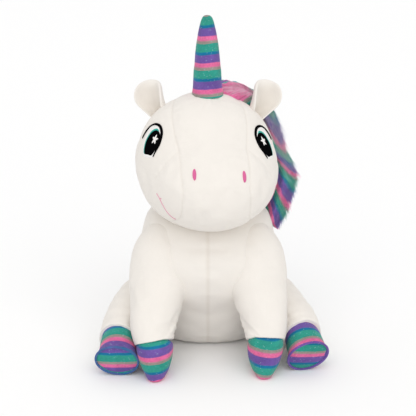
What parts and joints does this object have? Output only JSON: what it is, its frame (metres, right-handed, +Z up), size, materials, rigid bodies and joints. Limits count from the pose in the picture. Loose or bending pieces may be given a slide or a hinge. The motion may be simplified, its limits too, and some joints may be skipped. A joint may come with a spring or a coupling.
{
  "type": "plush unicorn",
  "caption": "Seated stuffed plush unicorn with a striped plush horn and hooves, a long-pile striped mane combed to one side, folded ears and embroidered eyes, nostrils and mouth.",
  "frame": {"origin": "on the floor, in the middle of the flat seat panel under the torso", "axes": "+Z up, -Y the way the body faces, +X towards the unicorn's own left side"},
  "size_m": [0.234, 0.2443, 0.3534],
  "materials": {
    "white_plush": "short, dense, matt white plush with a soft sheen",
    "striped_plush": "short glittering plush in soft-edged green, blue, purple, pink and grey stripes",
    "striped_long_pile": "combed long pile in the same stripes, with pale tips",
    "eye_embroidery": "satin stitch in black with white and teal",
    "pink_embroidery": "satin stitch, slightly glossy",
    "fibre_fill": "loose polyester fibre",
    "bean_bag_cloth": "plain woven cloth"
  },
  "bodies": {
    "torso": {"chest_panel_left": "white_plush", "chest_panel_right": "white_plush", "back_panel_left": "white_plush", "back_panel_right": "white_plush", "seat_panel": "white_plush", "bean_bag": "bean_bag_cloth", "torso_stuffing": "fibre_fill"},
    "neck": {"neck_stuffing": "fibre_fill"},
    "head": {"face_panel": "white_plush", "cheek_panel_left": "white_plush", "cheek_panel_right": "white_plush", "head_back_panel_left": "white_plush", "head_back_panel_right": "white_plush", "chin_panel": "white_plush", "head_stuffing": "fibre_fill", "eye_left": "eye_embroidery", "eye_right": "eye_embroidery", "nostril_left": "pink_embroidery", "nostril_right": "pink_embroidery", "mouth_left": "pink_embroidery", "mouth_right": "pink_embroidery", "mane_crest": "striped_long_pile", "mane_nape": "striped_long_pile", "mane_fall": "striped_long_pile", "mane_end": "striped_long_pile"},
    "horn": {"horn_cover": "striped_plush", "horn_stuffing": "fibre_fill"},
    "ear_left": {"ear_left_front": "white_plush", "ear_left_back": "white_plush"},
    "ear_right": {"ear_right_front": "white_plush", "ear_right_back": "white_plush"},
    "tail": {"tail": "striped_long_pile"},
    "front_leg_left": {"front_leg_left_outer_panel": "white_plush", "front_leg_left_inner_panel": "white_plush", "front_leg_left_stuffing": "fibre_fill", "front_leg_left_hoof_cover": "striped_plush", "front_leg_left_hoof_sole": "striped_plush"},
    "front_leg_right": {"front_leg_right_outer_panel": "white_plush", "front_leg_right_inner_panel": "white_plush", "front_leg_right_stuffing": "fibre_fill", "front_leg_right_hoof_cover": "striped_plush", "front_leg_right_hoof_sole": "striped_plush"},
    "rear_leg_left": {"rear_leg_left_outer_panel": "white_plush", "rear_leg_left_inner_panel": "white_plush", "rear_leg_left_stuffing": "fibre_fill", "rear_leg_left_hoof_cover": "striped_plush", "rear_leg_left_hoof_sole": "striped_plush"},
    "rear_leg_right": {"rear_leg_right_outer_panel": "white_plush", "rear_leg_right_inner_panel": "white_plush", "rear_leg_right_stuffing": "fibre_fill", "rear_leg_right_hoof_cover": "striped_plush", "rear_leg_right_hoof_sole": "striped_plush"}
  },
  "joints": [
    {"name": "head_turn", "type": "hinge", "parent": "torso", "child": "neck", "pos_m": [0, -0.014, 0.149], "axis": [0, 0, 1], "range_deg": [-15, 15], "stiffness_Nm_per_rad": 1.2},
    {"name": "head_nod", "type": "hinge", "parent": "neck", "child": "head", "pos_m": [0, -0.014, 0.149], "axis": [1, 0, 0], "range_deg": [-10, 10], "stiffness_Nm_per_rad": 2.5},
    {"name": "horn_bend", "type": "hinge", "parent": "head", "child": "horn", "pos_m": [-0.0005, -0.04, 0.2754], "axis": [1, 0, 0], "range_deg": [-6, 6], "stiffness_Nm_per_rad": 0.15},
    {"name": "ear_left_bend", "type": "hinge", "parent": "head", "child": "ear_left", "pos_m": [0.046, -0.024, 0.249], "axis": [0.8924, 0, -0.4512], "range_deg": [-15, 15], "stiffness_Nm_per_rad": 0.03},
    {"name": "front_leg_left_swing", "type": "hinge", "parent": "torso", "child": "front_leg_left", "pos_m": [0.051, -0.043, 0.108], "axis": [-1, 0, 0], "range_deg": [0, 45], "stiffness_Nm_per_rad": 0.4},
    {"name": "rear_leg_left_splay", "type": "hinge", "parent": "torso", "child": "rear_leg_left", "pos_m": [0.063, -0.004, 0.0385], "axis": [-0.867, 0, 0.4983], "range_deg": [0, 35], "stiffness_Nm_per_rad": 0.4},
    {"name": "ear_right_bend", "type": "hinge", "parent": "head", "child": "ear_right", "pos_m": [-0.046, -0.024, 0.249], "axis": [0.8924, 0, 0.4512], "range_deg": [-15, 15], "stiffness_Nm_per_rad": 0.03},
    {"name": "front_leg_right_swing", "type": "hinge", "parent": "torso", "child": "front_leg_right", "pos_m": [-0.051, -0.043, 0.108], "axis": [-1, 0, 0], "range_deg": [0, 45], "stiffness_Nm_per_rad": 0.4},
    {"name": "rear_leg_right_splay", "type": "hinge", "parent": "torso", "child": "rear_leg_right", "pos_m": [-0.063, -0.004, 0.0385], "axis": [-0.867, 0, -0.4983], "range_deg": [0, 35], "stiffness_Nm_per_rad": 0.4},
    {"name": "tail_lift", "type": "hinge", "parent": "torso", "child": "tail", "pos_m": [0, 0.062, 0.056], "axis": [1, 0, 0], "range_deg": [0, 60], "stiffness_Nm_per_rad": 0.05}
  ]
}
